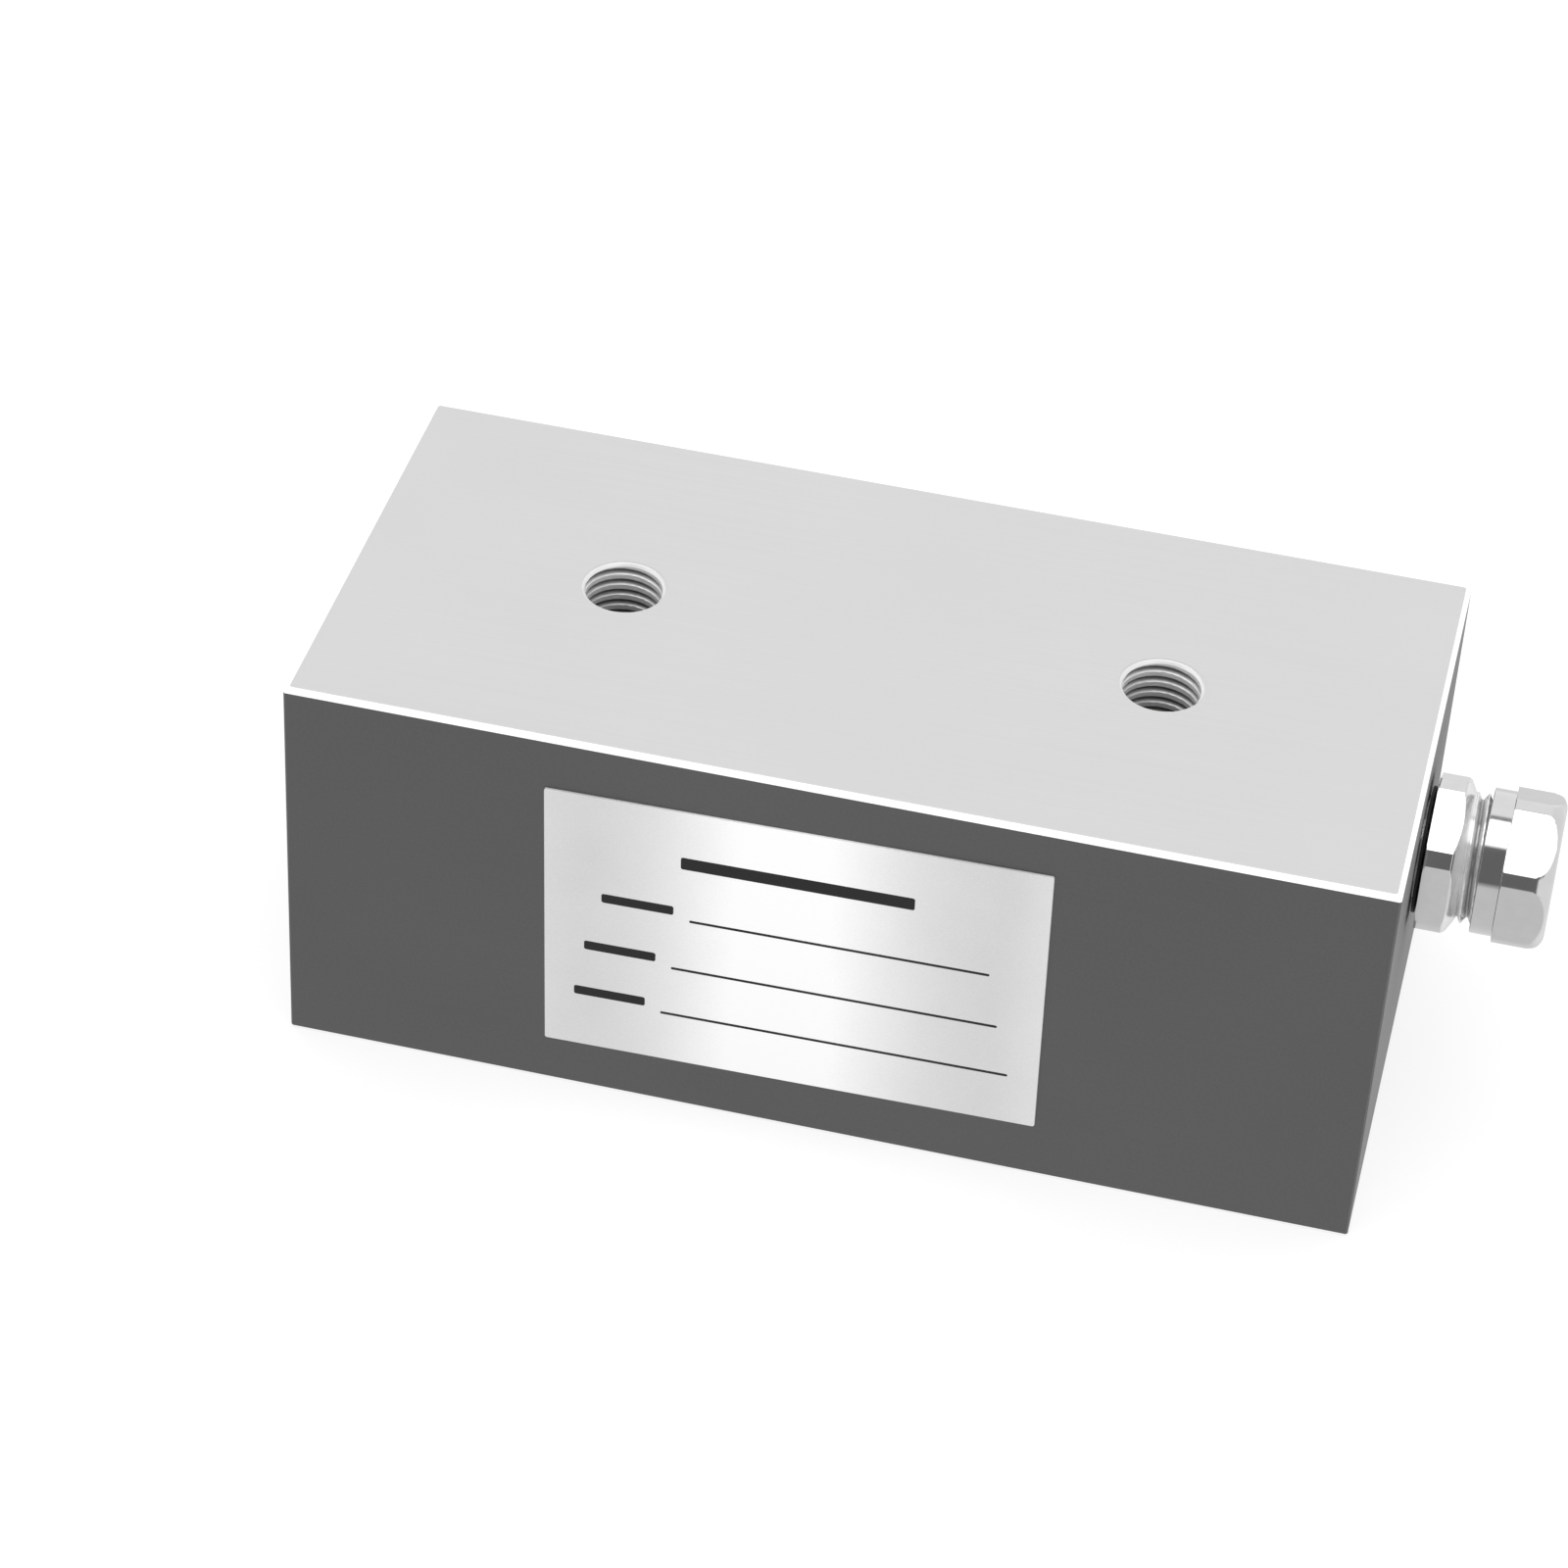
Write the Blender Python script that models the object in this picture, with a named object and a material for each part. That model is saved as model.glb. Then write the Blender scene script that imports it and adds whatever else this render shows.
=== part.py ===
"""Rectangular holding electromagnet with a cable gland in one end.

The origin is at the centre of the holding face. X runs along the block towards the
gland, Y runs across it and Z points up to the mounting face. Lengths are in metres.
"""
import math

import bmesh
import bpy
from mathutils import Vector

# Fit between pieces that touch on the real magnet
CLEARANCE = 0.0003

# Housing, one block of steel that is yoke, rim and centre pole
BODY_LENGTH = 0.150
BODY_WIDTH = 0.070
BODY_HEIGHT = 0.060
TOP_CHAMFER = 0.0007
EDGE_BREAK = 0.00025
RIM_WALL = 0.008
GROOVE_WIDTH = 0.013
GROOVE_DEPTH = 0.037
POLE_CORNER_RADIUS = 0.003

# Two tapped holes in the mounting face, bored here at the thread's full diameter
HOLE_DIAMETER = 0.012
HOLE_SPACING = 0.075
HOLE_DEPTH = 0.020
DRILL_POINT_ANGLE = math.radians(118)

# Potting resin, a ring that closes the groove and runs up outside the coil
RESIN_RECESS = 0.0003
RESIN_DEPTH = 0.004
RESIN_SKIRT = 0.0013
RESIN_BELOW_PORT = 0.0015

# Bobbin and coil
BOBBIN_WALL = 0.0012
BOBBIN_FLANGE = 0.0015
TAPE_THICKNESS = 0.0005
TAPE_INSET = 0.0005

# Ends of the winding, led up through the bobbin into the pocket behind the gland
LEAD_RADIUS = 0.00045
LEAD_OFFSET = 0.0045
LEAD_SPREAD = 0.0045
LEAD_BEND = 0.002
LEAD_DROP = 0.0023
SLEEVE_WALL = 0.0004
FERRULE_WALL = 0.00055
FERRULE_LENGTH = 0.0042
FERRULE_SETBACK = 0.0008

# Port for the gland, drilled into the end above the groove and opening into its roof
PORT_DIAMETER = 0.016
PORT_RISE = 0.0035
PORT_STOP = 0.0015

# Gland, radial build-up from the cable's bore outwards
SEAL_BORE = 0.0066
SEAL_WALL = 0.0014
CLAW_WALL = 0.0016
CAP_THREAD_WALL = 0.0021
HEAD_HEX_WALL = 0.00135
NUT_HEX_WALL = 0.001
CORNER_RISE = 0.001
BORE_MARGIN = 0.0009
NECK_RELIEF = 0.001
WASHER_WIDTH = 0.00145

# Gland, lengths along its axis
WASHER_THICKNESS = 0.0005
ENTRY_LENGTH = 0.0075
NECK_LENGTH = 0.001
THREAD_LEAD_IN = 0.0005
HEAD_LENGTH = 0.005
HEAD_CHAMFER_ANGLE = math.radians(30)
CAP_THREAD_LENGTH = 0.0084
THREAD_SHOWN = 0.0024
THREAD_RUNOUT = 0.0005
SEAT_FLOOR = 0.0009
COLLAR_LENGTH = 0.0031
NUT_HEX_LENGTH = 0.0044
DOME_LENGTH = 0.0025
DOME_DRAW_IN = 0.0024
NUT_LIP = 0.001
SEAL_INSET = 0.0006
CLAW_TIP_GAP = 0.0011
CLAW_RING = 0.004
CLAW_SLOT_WIDTH = 0.001

# The two hexagons aren't quite in line on this magnet
HEAD_TURN = math.radians(-3)
NUT_TURN = math.radians(3)

# Plate stuck to the front, a little askew
PLATE_LENGTH = 0.069
PLATE_HEIGHT = 0.044
PLATE_THICKNESS = 0.0004
PLATE_CORNER_RADIUS = 0.0003
PLATE_SHIFT = -0.0039
PLATE_CENTRE_HEIGHT = 0.0303
PLATE_TILT = math.radians(1)

# Facets of the round forms
TURN_STEPS = 64
SWEEP_STEPS = 14
CORNER_STEPS = 8
LEAD_STEPS = 12
MERGE_DISTANCE = 0.000001
SMOOTH_ANGLE = math.radians(32)

# Stations and radii that follow from the sizes above
POLE_HALF_LENGTH = BODY_LENGTH / 2 - RIM_WALL - GROOVE_WIDTH
POLE_HALF_WIDTH = BODY_WIDTH / 2 - RIM_WALL - GROOVE_WIDTH
PORT_RADIUS = PORT_DIAMETER / 2
GLAND_HEIGHT = GROOVE_DEPTH + PORT_RISE

SEAL_RADIUS = SEAL_BORE / 2 + SEAL_WALL
CLAW_INNER_RADIUS = SEAL_RADIUS + CLEARANCE
CLAW_OUTER_RADIUS = CLAW_INNER_RADIUS + CLAW_WALL
SEAT_RADIUS = CLAW_OUTER_RADIUS + CLEARANCE
CAP_THREAD_RADIUS = SEAT_RADIUS + CAP_THREAD_WALL
HEAD_FLATS_RADIUS = CAP_THREAD_RADIUS + HEAD_HEX_WALL
HEAD_CORNER_RADIUS = HEAD_FLATS_RADIUS + CORNER_RISE
NUT_FLATS_RADIUS = CAP_THREAD_RADIUS + NUT_HEX_WALL
NUT_CORNER_RADIUS = NUT_FLATS_RADIUS + CORNER_RISE
NECK_RADIUS = PORT_RADIUS - NECK_RELIEF
GLAND_BORE_RADIUS = SEAL_BORE / 2 + BORE_MARGIN

HEAD_START = WASHER_THICKNESS + 2 * CLEARANCE
HEAD_END = HEAD_START + HEAD_LENGTH
BODY_END = HEAD_END + CAP_THREAD_LENGTH
SEAT_START = HEAD_END + SEAT_FLOOR
NUT_START = HEAD_END + THREAD_SHOWN
NUT_HEX_START = NUT_START + COLLAR_LENGTH
DOME_START = NUT_HEX_START + NUT_HEX_LENGTH
NUT_END = DOME_START + DOME_LENGTH
CONE_START = BODY_END + THREAD_RUNOUT
CONE_END = NUT_END - NUT_LIP


def clear_scene():
    for thing in list(bpy.data.objects):
        bpy.data.objects.remove(thing, do_unlink=True)


def make_material(name, colour, roughness, metallic):
    material = bpy.data.materials.new(name)
    material.use_nodes = True
    shader = material.node_tree.nodes["Principled BSDF"]
    shader.inputs["Base Color"].default_value = (*colour, 1.0)
    shader.inputs["Roughness"].default_value = roughness
    shader.inputs["Metallic"].default_value = metallic
    return material


def add_object(name, bm, material=None, parent=None):
    """Turn a bmesh into a named object with smooth round faces and its normals out."""
    bmesh.ops.recalc_face_normals(bm, faces=bm.faces)
    mesh = bpy.data.meshes.new(name)
    bm.to_mesh(mesh)
    bm.free()
    mesh.shade_smooth()
    mesh.set_sharp_from_angle(angle=SMOOTH_ANGLE)
    if material:
        mesh.materials.append(material)
    thing = bpy.data.objects.new(name, mesh)
    thing.parent = parent
    bpy.context.collection.objects.link(thing)
    return thing


def skin_loops(name, loops, wrap, material=None, parent=None):
    """Join loops of equal length with quads, and close the ends unless the last meets the first."""
    bm = bmesh.new()
    rings = [[bm.verts.new(point) for point in loop] for loop in loops]
    pairs = list(zip(rings, rings[1:]))
    if wrap:
        pairs.append((rings[-1], rings[0]))
    else:
        bm.faces.new(rings[0])
        bm.faces.new(rings[-1])
    for ring, following in pairs:
        for index in range(len(ring)):
            bm.faces.new((ring[index - 1], ring[index], following[index], following[index - 1]))
    return add_object(name, bm, material, parent)


def turn_profile(name, profile, material=None, parent=None):
    """Spin an outline of (station, radius) points about the parent's Z axis."""
    bm = bmesh.new()
    points = [bm.verts.new((radius, 0.0, station)) for station, radius in profile]
    edges = []
    for first, second in zip(points, points[1:] + points[:1]):
        if first.co.x > 0 or second.co.x > 0:
            edges.append(bm.edges.new((first, second)))
    bmesh.ops.spin(
        bm, geom=points + edges, axis=(0, 0, 1), cent=(0, 0, 0),
        angle=2 * math.pi, steps=TURN_STEPS, use_merge=True,
    )
    bmesh.ops.remove_doubles(bm, verts=bm.verts, dist=MERGE_DISTANCE)
    return add_object(name, bm, material, parent)


def cut(target, cutter):
    """Take the cutter's form out of the target with a modifier, and keep the cutter as a guide."""
    cutter.hide_render = True
    cutter.display_type = "WIRE"
    boolean = target.modifiers.new(cutter.name, "BOOLEAN")
    boolean.operation = "DIFFERENCE"
    boolean.solver = "EXACT"
    boolean.object = cutter


def add_empty(name, location, rotation=(0.0, 0.0, 0.0)):
    empty = bpy.data.objects.new(name, None)
    empty.location = location
    empty.rotation_euler = rotation
    bpy.context.collection.objects.link(empty)
    return empty


def rounded_rectangle(half_length, half_width, radius, steps):
    """Corner arcs of a rounded rectangle, anticlockwise, as (centre, direction) pairs."""
    stations = []
    for quarter in range(4):
        side_x = 1 if quarter in (0, 3) else -1
        side_y = 1 if quarter in (0, 1) else -1
        centre = Vector((side_x * (half_length - radius), side_y * (half_width - radius)))
        for step in range(steps + 1):
            angle = (quarter + step / steps) * math.pi / 2
            stations.append((centre, Vector((math.cos(angle), math.sin(angle)))))
    return stations


def pole_ring(name, profile, material=None):
    """Sweep an (offset, height) outline round the centre pole, offset 0 lying on its side."""
    loops = []
    for centre, direction in rounded_rectangle(
        POLE_HALF_LENGTH, POLE_HALF_WIDTH, POLE_CORNER_RADIUS, SWEEP_STEPS
    ):
        loop = []
        for offset, height in profile:
            place = centre + direction * (POLE_CORNER_RADIUS + offset)
            loop.append((place.x, place.y, height))
        loops.append(loop)
    return skin_loops(name, loops, True, material)


def block_outline(inset, height):
    """The block's outline, drawn in by an inset, with its four corners broken."""
    x = BODY_LENGTH / 2 - inset
    y = BODY_WIDTH / 2 - inset
    e = EDGE_BREAK
    corners = (
        (x, e - y), (x, y - e), (x - e, y), (e - x, y),
        (-x, y - e), (-x, e - y), (e - x, -y), (x - e, -y),
    )
    return [(across, along, height) for across, along in corners]


def make_housing(material, gland_axis):
    loops = (
        block_outline(EDGE_BREAK, 0.0),
        block_outline(0.0, EDGE_BREAK),
        block_outline(0.0, BODY_HEIGHT - TOP_CHAMFER),
        block_outline(TOP_CHAMFER, BODY_HEIGHT),
    )
    housing = skin_loops("housing", loops, False, material)

    groove = pole_ring("groove_cutter", (
        (0.0, -RIM_WALL), (GROOVE_WIDTH, -RIM_WALL),
        (GROOVE_WIDTH, GROOVE_DEPTH), (0.0, GROOVE_DEPTH),
    ))
    cut(housing, groove)

    port_floor = POLE_HALF_LENGTH + PORT_STOP - BODY_LENGTH / 2
    port = turn_profile("port_cutter", (
        (port_floor, 0.0), (port_floor, PORT_RADIUS), (RIM_WALL, PORT_RADIUS), (RIM_WALL, 0.0),
    ), parent=gland_axis)
    cut(housing, port)

    hole_radius = HOLE_DIAMETER / 2
    point_depth = hole_radius / math.tan(DRILL_POINT_ANGLE / 2)
    for side in (-1, 1):
        mouth = add_empty(
            "hole_axis", (side * HOLE_SPACING / 2, 0.0, BODY_HEIGHT)
        )
        hole = turn_profile("hole_cutter", (
            (-HOLE_DEPTH - point_depth, 0.0), (-HOLE_DEPTH, hole_radius),
            (HOLE_DEPTH, hole_radius), (HOLE_DEPTH, 0.0),
        ), parent=mouth)
        cut(housing, hole)


def make_resin(material):
    inner = CLEARANCE
    outer = GROOVE_WIDTH - CLEARANCE
    skirt = outer - RESIN_SKIRT
    cap = RESIN_RECESS + RESIN_DEPTH
    top = GLAND_HEIGHT - PORT_RADIUS - RESIN_BELOW_PORT
    pole_ring("potting_resin", (
        (inner, RESIN_RECESS), (outer, RESIN_RECESS), (outer, top),
        (skirt, top), (skirt, cap), (inner, cap),
    ), material)


def make_coil(bobbin_material, copper, tape_material):
    """Bobbin with its winding and outer tape, and the height where the winding ends."""
    bottom = RESIN_RECESS + RESIN_DEPTH + CLEARANCE
    top = GROOVE_DEPTH - CLEARANCE
    tube_inner = CLEARANCE
    tube_outer = tube_inner + BOBBIN_WALL
    reach = GROOVE_WIDTH - RESIN_SKIRT - 2 * CLEARANCE
    bobbin = pole_ring("bobbin", (
        (tube_inner, bottom), (reach, bottom), (reach, bottom + BOBBIN_FLANGE),
        (tube_outer, bottom + BOBBIN_FLANGE), (tube_outer, top - BOBBIN_FLANGE),
        (reach, top - BOBBIN_FLANGE), (reach, top), (tube_inner, top),
    ), bobbin_material)
    for side in (-1, 1):
        cut(bobbin, lead_slot(side, top, reach))

    low = bottom + BOBBIN_FLANGE + CLEARANCE
    high = top - BOBBIN_FLANGE - CLEARANCE
    tape_outer = reach - TAPE_INSET
    tape_inner = tape_outer - TAPE_THICKNESS
    bands = (
        ("coil_winding", tube_outer + CLEARANCE, tape_inner - CLEARANCE, copper),
        ("coil_tape", tape_inner, tape_outer, tape_material),
    )
    for name, inner, outer, material in bands:
        pole_ring(name, ((inner, low), (outer, low), (outer, high), (inner, high)), material)
    return high


def lead_slot(side, flange_top, flange_reach):
    """Round-ended slot in the bobbin's top flange, open at the rim so that a lead drops in."""
    radius = LEAD_RADIUS + SLEEVE_WALL + 2 * CLEARANCE
    centre_x = POLE_HALF_LENGTH + LEAD_OFFSET
    rim_x = POLE_HALF_LENGTH + flange_reach + CLEARANCE
    centre_y = side * LEAD_SPREAD
    outline = [(rim_x, centre_y - radius), (rim_x, centre_y + radius)]
    for step in range(CORNER_STEPS + 1):
        angle = math.pi / 2 + math.pi * step / CORNER_STEPS
        outline.append((centre_x + radius * math.cos(angle), centre_y + radius * math.sin(angle)))
    heights = (flange_top - 1.5 * BOBBIN_FLANGE, flange_top + BOBBIN_FLANGE)
    loops = [[(x, y, height) for x, y in outline] for height in heights]
    return skin_loops("lead_slot_cutter", loops, False)


def lead_route(side, start, end_x):
    """A lead's middle line: up from the winding, round one bend and on towards the gland."""
    foot_x = POLE_HALF_LENGTH + LEAD_OFFSET
    run_height = GLAND_HEIGHT - LEAD_DROP
    y = side * LEAD_SPREAD
    route = [Vector((foot_x, y, start))]
    for step in range(CORNER_STEPS + 1):
        angle = math.pi - math.pi / 2 * step / CORNER_STEPS
        route.append(Vector((
            foot_x + LEAD_BEND + LEAD_BEND * math.cos(angle), y,
            run_height - LEAD_BEND + LEAD_BEND * math.sin(angle),
        )))
    route.append(Vector((end_x, y, run_height)))
    return route


def rings_along(route, radius):
    """Circles square to a route that lies in an XZ plane."""
    rings = []
    last = len(route) - 1
    for index, place in enumerate(route):
        heading = (route[min(index + 1, last)] - route[max(index - 1, 0)]).normalized()
        lift = Vector((-heading.z, 0.0, heading.x))
        ring = []
        for step in range(LEAD_STEPS):
            angle = 2 * math.pi * step / LEAD_STEPS
            side = Vector((0.0, math.sin(angle), 0.0))
            ring.append(place + radius * (lift * math.cos(angle) + side))
        rings.append(ring)
    return rings


def make_leads(start, wire_material, sleeve_material, ferrule_material):
    """Bare wire ends, their insulating sleeves and the crimp ferrules, one set each side."""
    gland_end = BODY_LENGTH / 2 - ENTRY_LENGTH
    ferrule_end = gland_end - FERRULE_SETBACK
    ferrule_start = ferrule_end - FERRULE_LENGTH
    bore = LEAD_RADIUS + CLEARANCE
    foot = start + CLEARANCE
    for side, word in ((-1, "start"), (1, "finish")):
        wire = lead_route(side, foot, ferrule_end - CLEARANCE)
        skin_loops("coil_lead_" + word, rings_along(wire, LEAD_RADIUS), False, wire_material)

        covered = lead_route(side, foot, ferrule_start - CLEARANCE)
        sleeve = rings_along(covered, bore + SLEEVE_WALL)
        sleeve += reversed(rings_along(covered, bore))
        skin_loops("lead_sleeve_" + word, sleeve, True, sleeve_material)

        crimped = (
            Vector((ferrule_start, wire[-1].y, wire[-1].z)),
            Vector((ferrule_end, wire[-1].y, wire[-1].z)),
        )
        ferrule = rings_along(crimped, bore + FERRULE_WALL)
        ferrule += reversed(rings_along(crimped, bore))
        skin_loops("lead_ferrule_" + word, ferrule, True, ferrule_material)


def hexagon(radius_to_flats, turn, station):
    corner = radius_to_flats / math.cos(math.pi / 6)
    angles = [turn + math.pi / 3 * step for step in range(6)]
    return [(corner * math.cos(angle), corner * math.sin(angle), station) for angle in angles]


def mill_flats(blank, flats_radius, start, end, turn, gland_axis):
    """Cut six flats into a turned blank between two stations, leaving its round corners."""
    far = 2 * flats_radius
    loops = (
        hexagon(far, turn, start), hexagon(far, turn, end),
        hexagon(flats_radius, turn, end), hexagon(flats_radius, turn, start),
    )
    cut(blank, skin_loops("flats_cutter", loops, True, parent=gland_axis))


def make_gland_washer(material, gland_axis):
    inner = NECK_RADIUS + CLEARANCE
    outer = inner + WASHER_WIDTH
    low = CLEARANCE
    high = CLEARANCE + WASHER_THICKNESS
    turn_profile("gland_washer", (
        (low, inner), (low, outer), (high, outer), (high, inner),
    ), material, gland_axis)


def make_gland_body(material, gland_axis):
    thread = PORT_RADIUS - CLEARANCE
    shoulder = (HEAD_CORNER_RADIUS - CAP_THREAD_RADIUS) * math.tan(HEAD_CHAMFER_ANGLE)
    body = turn_profile("gland_body", (
        (-ENTRY_LENGTH, GLAND_BORE_RADIUS), (-ENTRY_LENGTH, thread - THREAD_LEAD_IN),
        (THREAD_LEAD_IN - ENTRY_LENGTH, thread), (-NECK_LENGTH, thread),
        (-NECK_LENGTH, NECK_RADIUS), (HEAD_START, NECK_RADIUS),
        (HEAD_START, HEAD_CORNER_RADIUS), (HEAD_END - shoulder, HEAD_CORNER_RADIUS),
        (HEAD_END, CAP_THREAD_RADIUS), (BODY_END - THREAD_LEAD_IN, CAP_THREAD_RADIUS),
        (BODY_END, CAP_THREAD_RADIUS - THREAD_LEAD_IN), (BODY_END, SEAT_RADIUS),
        (SEAT_START, SEAT_RADIUS), (SEAT_START, GLAND_BORE_RADIUS),
    ), material, gland_axis)
    mill_flats(body, HEAD_FLATS_RADIUS, HEAD_START - CLEARANCE, HEAD_END, HEAD_TURN, gland_axis)


def cone_radius(station):
    """Inner radius of the cap nut's cone, which presses the claw's fingers in."""
    share = (station - CONE_START) / (CONE_END - CONE_START)
    return SEAT_RADIUS + share * (CLAW_INNER_RADIUS - SEAT_RADIUS)


def make_gland_claw(material, gland_axis):
    foot = SEAT_START + CLEARANCE
    tip = CONE_END - CLAW_TIP_GAP
    claw = turn_profile("gland_claw", (
        (foot, CLAW_INNER_RADIUS), (foot, CLAW_OUTER_RADIUS), (CONE_START, CLAW_OUTER_RADIUS),
        (tip, cone_radius(tip) - CLEARANCE), (tip, CLAW_INNER_RADIUS),
    ), material, gland_axis)

    arms = 6
    notch = CLAW_SLOT_WIDTH / 2 / math.sin(math.pi / arms)
    reach = 2 * CLAW_OUTER_RADIUS
    star = []
    for arm in range(arms):
        heading = 2 * math.pi * arm / arms
        along = Vector((math.cos(heading), math.sin(heading)))
        across = Vector((-along.y, along.x)) * CLAW_SLOT_WIDTH / 2
        corner = heading + math.pi / arms
        star.append(along * reach - across)
        star.append(along * reach + across)
        star.append(Vector((math.cos(corner), math.sin(corner))) * notch)
    loops = []
    for station in (foot + CLAW_RING, NUT_END):
        loops.append([(point.x, point.y, station) for point in star])
    cut(claw, skin_loops("claw_slot_cutter", loops, False, parent=gland_axis))


def make_gland_seal(material, gland_axis):
    foot = SEAT_START + CLEARANCE
    bore = SEAL_BORE / 2
    end = NUT_END - SEAL_INSET
    lip = SEAL_WALL / 3
    turn_profile("gland_seal", (
        (foot, bore), (foot, SEAL_RADIUS), (end - lip, SEAL_RADIUS), (end, SEAL_RADIUS - lip),
        (end, bore + lip), (end - lip, bore),
    ), material, gland_axis)


def make_gland_cap_nut(material, gland_axis):
    bore = CAP_THREAD_RADIUS + CLEARANCE
    profile = [
        (NUT_START, bore), (NUT_START, NUT_FLATS_RADIUS), (NUT_HEX_START, NUT_FLATS_RADIUS),
        (NUT_HEX_START, NUT_CORNER_RADIUS), (DOME_START, NUT_CORNER_RADIUS),
    ]
    dome_steps = 6
    for step in range(1, dome_steps + 1):
        angle = math.pi / 2 * step / dome_steps
        profile.append((
            DOME_START + DOME_LENGTH * math.sin(angle),
            NUT_CORNER_RADIUS - DOME_DRAW_IN * (1 - math.cos(angle)),
        ))
    mouth_chamfer = NUT_LIP / 2
    profile += [
        (NUT_END, CLAW_INNER_RADIUS + mouth_chamfer), (NUT_END - mouth_chamfer, CLAW_INNER_RADIUS),
        (CONE_END, CLAW_INNER_RADIUS), (CONE_START, SEAT_RADIUS), (CONE_START, bore),
    ]
    nut = turn_profile("gland_cap_nut", profile, material, gland_axis)
    mill_flats(nut, NUT_FLATS_RADIUS, NUT_HEX_START, NUT_END + CLEARANCE, NUT_TURN, gland_axis)


def make_nameplate(material):
    """Bare plate, laid flat in its own XY plane and then stood against the front face."""
    outline = rounded_rectangle(
        PLATE_LENGTH / 2, PLATE_HEIGHT / 2, PLATE_CORNER_RADIUS, CORNER_STEPS
    )
    places = [centre + direction * PLATE_CORNER_RADIUS for centre, direction in outline]
    loops = []
    for height in (CLEARANCE, CLEARANCE + PLATE_THICKNESS):
        loops.append([(place.x, place.y, height) for place in places])
    plate = skin_loops("nameplate", loops, False, material)
    plate.location = (PLATE_SHIFT, -BODY_WIDTH / 2, PLATE_CENTRE_HEIGHT)
    plate.rotation_euler = (math.pi / 2, -PLATE_TILT, 0.0)


def main():
    clear_scene()
    steel = make_material("machined_steel", (0.36, 0.36, 0.36), 0.38, 0.85)
    plated_brass = make_material("nickel_plated_brass", (0.68, 0.67, 0.65), 0.16, 1.0)
    nut_brass = make_material("nickel_plated_nut", (0.68, 0.67, 0.65), 0.18, 1.0)
    black_rubber = make_material("black_rubber", (0.015, 0.015, 0.015), 0.7, 0.0)
    seal_rubber = make_material("seal_rubber", (0.02, 0.02, 0.02), 0.65, 0.0)
    claw_plastic = make_material("claw_plastic", (0.05, 0.05, 0.05), 0.5, 0.0)
    bobbin_plastic = make_material("bobbin_plastic", (0.55, 0.52, 0.45), 0.5, 0.0)
    copper = make_material("enamelled_copper", (0.55, 0.2, 0.08), 0.3, 0.8)
    lead_copper = make_material("lead_copper", (0.6, 0.24, 0.1), 0.3, 0.9)
    tape = make_material("coil_tape", (0.6, 0.5, 0.2), 0.5, 0.0)
    sleeving = make_material("lead_sleeving", (0.6, 0.58, 0.5), 0.7, 0.0)
    tinned = make_material("tinned_ferrule", (0.6, 0.6, 0.6), 0.3, 1.0)
    resin = make_material("potting_resin", (0.02, 0.02, 0.022), 0.35, 0.0)
    aluminium = make_material("satin_aluminium", (0.75, 0.75, 0.75), 0.4, 0.9)

    gland_axis = add_empty(
        "gland_axis", (BODY_LENGTH / 2, 0.0, GLAND_HEIGHT), (0.0, math.pi / 2, 0.0)
    )
    make_housing(steel, gland_axis)
    make_resin(resin)
    winding_top = make_coil(bobbin_plastic, copper, tape)
    make_leads(winding_top, lead_copper, sleeving, tinned)
    make_gland_washer(black_rubber, gland_axis)
    make_gland_body(plated_brass, gland_axis)
    make_gland_claw(claw_plastic, gland_axis)
    make_gland_seal(seal_rubber, gland_axis)
    make_gland_cap_nut(nut_brass, gland_axis)
    make_nameplate(aluminium)


main()
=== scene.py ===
"""Looks of a rectangular holding electromagnet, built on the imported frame.

X runs along the block towards the cable gland, Y across it and Z up. Lengths are in metres.
A station is a distance along the gland's axis, measured from the block's end face.
"""

import math
from collections import namedtuple

import bmesh
import bpy
import numpy as np
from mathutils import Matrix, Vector


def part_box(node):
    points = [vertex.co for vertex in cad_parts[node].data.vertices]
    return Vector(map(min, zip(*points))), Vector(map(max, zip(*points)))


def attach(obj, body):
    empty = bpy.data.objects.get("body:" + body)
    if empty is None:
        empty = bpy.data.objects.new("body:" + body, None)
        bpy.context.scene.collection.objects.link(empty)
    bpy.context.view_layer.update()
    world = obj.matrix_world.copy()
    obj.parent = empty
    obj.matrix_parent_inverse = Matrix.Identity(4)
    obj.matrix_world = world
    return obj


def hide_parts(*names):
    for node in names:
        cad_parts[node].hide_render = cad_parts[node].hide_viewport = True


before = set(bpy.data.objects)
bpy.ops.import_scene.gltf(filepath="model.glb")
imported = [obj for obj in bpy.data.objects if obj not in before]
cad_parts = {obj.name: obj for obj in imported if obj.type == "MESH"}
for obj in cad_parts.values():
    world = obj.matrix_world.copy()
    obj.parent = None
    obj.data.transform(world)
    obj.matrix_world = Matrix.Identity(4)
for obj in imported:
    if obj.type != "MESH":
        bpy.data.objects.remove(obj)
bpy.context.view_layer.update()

MM = 0.001
FULL_TURN = 2 * math.pi
SIXTH_TURN = math.pi / 3

# Block, and the fit between pieces that touch on the real magnet
BODY_LENGTH = 0.150
BODY_WIDTH = 0.070
BODY_HEIGHT = 0.060
TOP_CHAMFER = 0.0007
CLEARANCE = 0.0003

# Tapped holes: the thread's full radius, the mouth's at the top face and the drill's
HOLE_RADIUS = 0.006
MOUTH_RADIUS = 0.0057
TAPPING_RADIUS = 0.0053
HOLE_SPACING = 0.075
HOLE_DEPTH = 0.020
DRILL_POINT_ANGLE = math.radians(118)

# Lining of each hole: how far its wall lies outside the hole's radius and its lip below the
# top face, and how fast its turns may widen below the mouth
LINING_SKIN = 0.00004
LINING_DROP = 0.000015
MOUTH_TAPER = 0.6

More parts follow.
